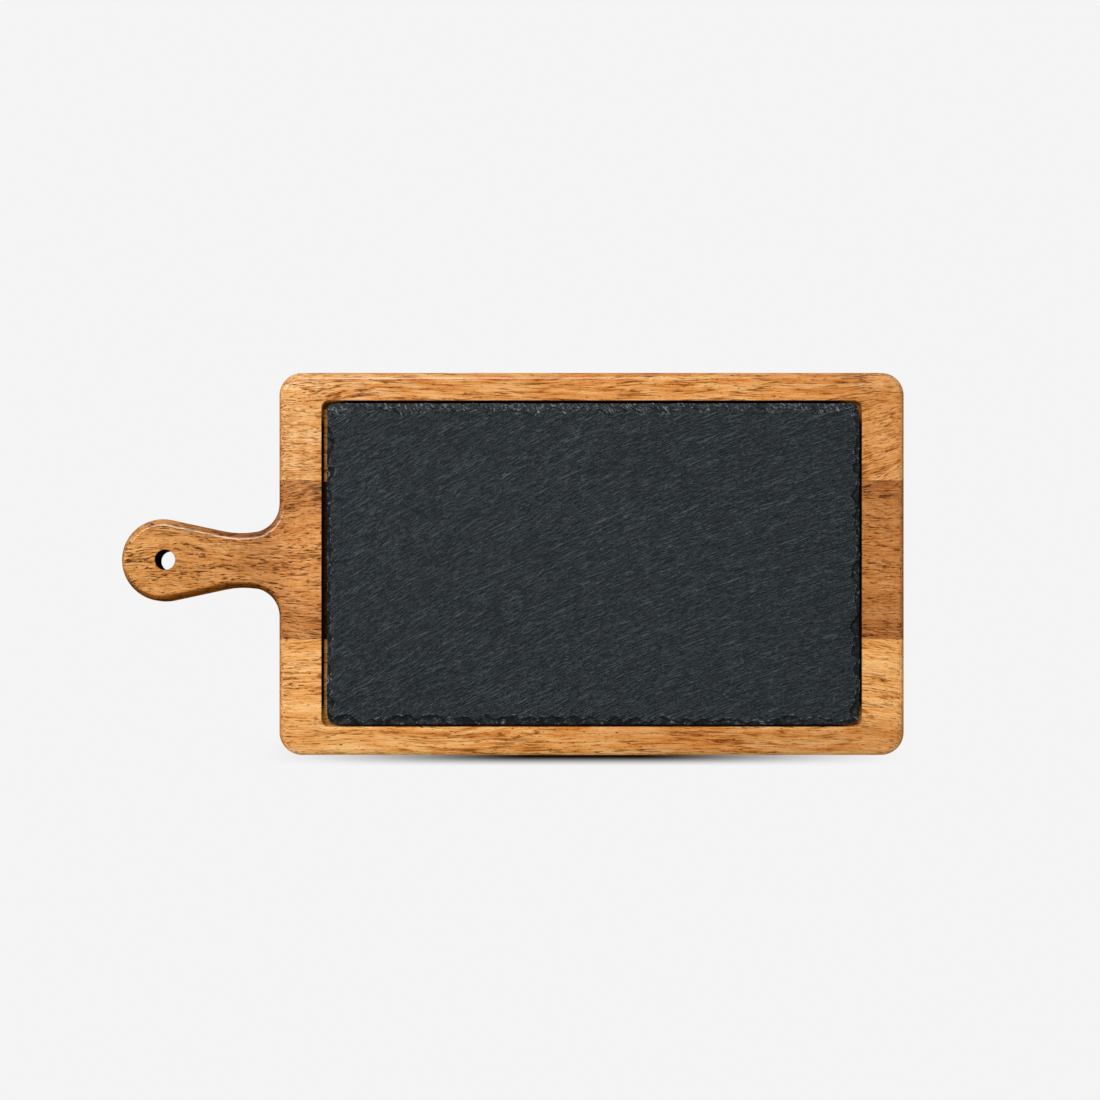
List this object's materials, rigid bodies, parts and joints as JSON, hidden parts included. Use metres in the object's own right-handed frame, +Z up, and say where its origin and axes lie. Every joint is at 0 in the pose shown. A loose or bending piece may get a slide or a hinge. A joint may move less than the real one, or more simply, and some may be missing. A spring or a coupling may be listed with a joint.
{
  "type": "slate serving platter",
  "caption": "Paddle-shaped wooden serving board with a handle and a hanging hole, and a loose slab of riven slate lying in a shallow pocket.",
  "frame": {"origin": "middle of the footprint, on the surface that the board lies on", "axes": "+X along the board from the handle to the far end, +Y across it towards the rear stave, +Z up out of the slate"},
  "size_m": [0.41, 0.2004, 0.016],
  "materials": {
    "pale_acacia": "oiled satin, grain along the board",
    "dark_acacia": "oiled satin, darker and redder, grain along the board",
    "riven_slate": "split natural surface with a low sheen and flaked edges",
    "pad_rubber": "matt"
  },
  "bodies": {
    "board": {"rear_stave": "pale_acacia", "handle_stave": "dark_acacia", "front_stave": "pale_acacia"},
    "slate": {"slate_slab": "riven_slate", "slate_pad_rear_left": "pad_rubber", "slate_pad_rear_right": "pad_rubber", "slate_pad_front_left": "pad_rubber", "slate_pad_front_right": "pad_rubber"}
  },
  "joints": [
    {"name": "slate_lift", "type": "slide", "parent": "board", "child": "slate", "axis": [0, 0, 1], "range_m": [0, 0.05]}
  ]
}
